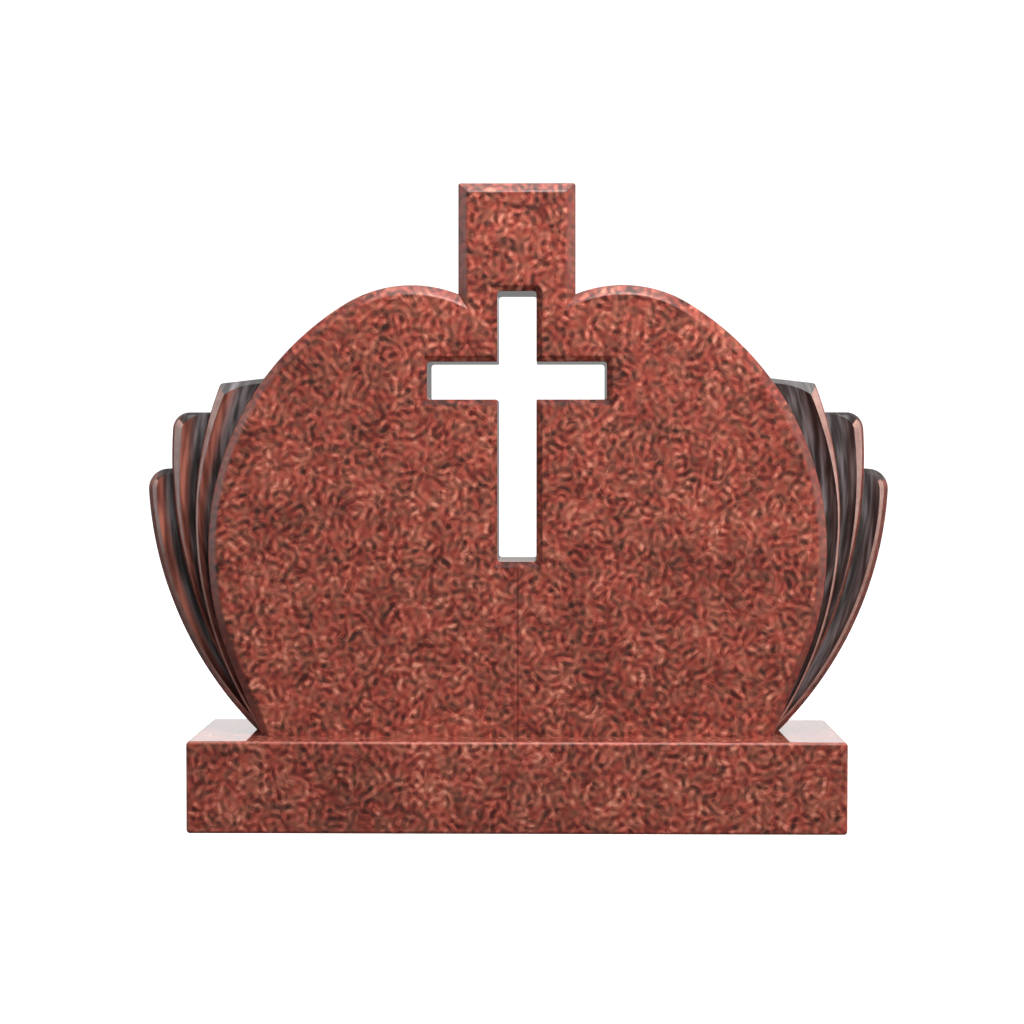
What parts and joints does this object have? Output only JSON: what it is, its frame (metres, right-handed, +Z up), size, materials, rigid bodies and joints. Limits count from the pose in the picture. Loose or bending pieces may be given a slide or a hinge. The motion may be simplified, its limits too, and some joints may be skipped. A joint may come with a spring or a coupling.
{
  "type": "pierced cross headstone",
  "caption": "Polished granite headstone on a plinth: heart-shouldered tablet with a Latin cross cut through it and dished petals stepping back at each side.",
  "frame": {"origin": "middle of the plinth's underside, on the ground", "axes": "+X along the width to the viewer's right, +Y from front to back, +Z up"},
  "size_m": [1.0424, 0.25, 0.89],
  "materials": {
    "tablet_granite": "polished red granite",
    "plinth_granite": "polished red granite"
  },
  "bodies": {
    "root": {"headstone": "tablet_granite", "plinth": "plinth_granite"}
  },
  "joints": []
}
